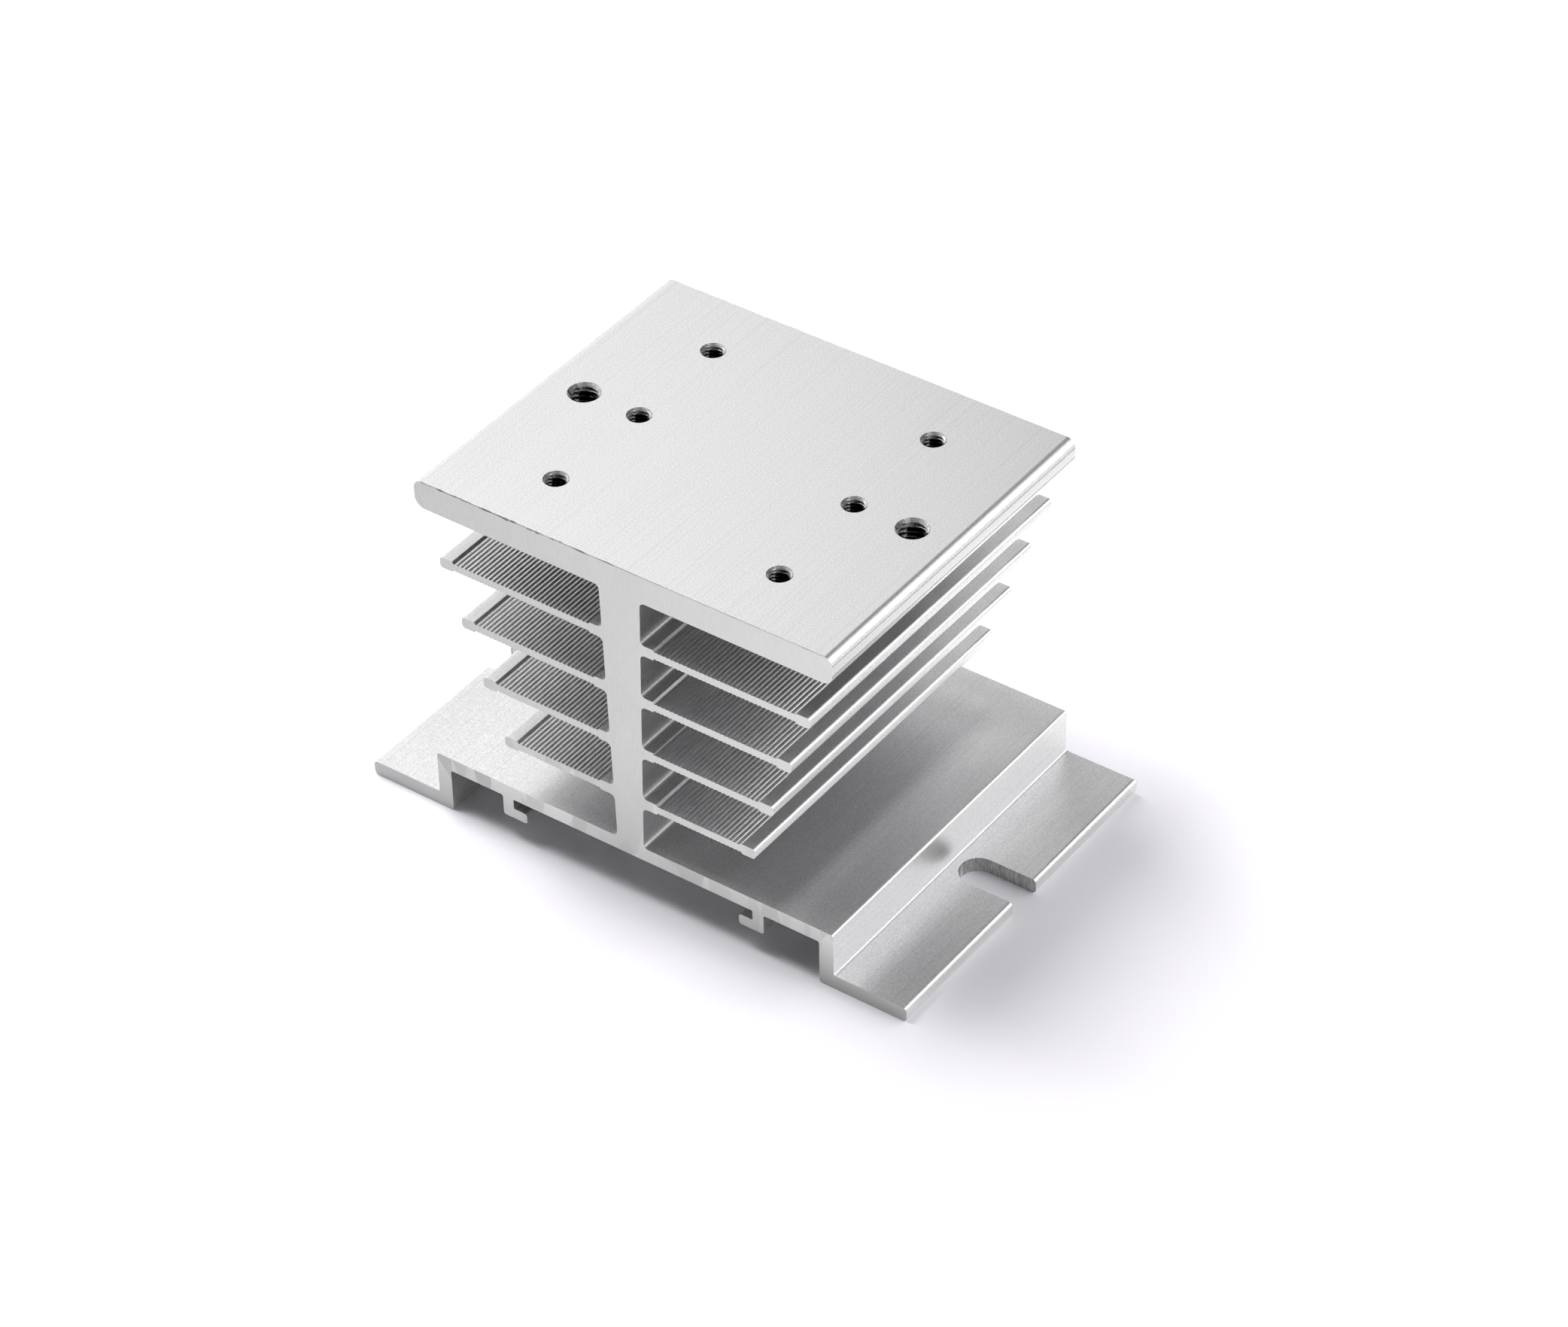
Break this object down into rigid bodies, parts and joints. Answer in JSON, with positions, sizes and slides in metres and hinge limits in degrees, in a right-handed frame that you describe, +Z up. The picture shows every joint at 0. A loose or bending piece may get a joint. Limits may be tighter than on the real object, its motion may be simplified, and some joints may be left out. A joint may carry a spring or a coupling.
{
  "type": "heat sink",
  "caption": "Extruded aluminium heat sink: a drilled and tapped top plate on a tapered web with ribbed side fins, above a base with rail hooks and slotted feet.",
  "frame": {"origin": "middle of the footprint, on the surface that the feet stand on", "axes": "X across the extruded profile, Y along the extrusion, Z up to the top plate"},
  "size_m": [0.08, 0.05, 0.05],
  "materials": {
    "extruded_aluminium": "satin clear anodised extrusion with sawn ends"
  },
  "bodies": {
    "root": {"heat_sink": "extruded_aluminium"}
  },
  "joints": []
}
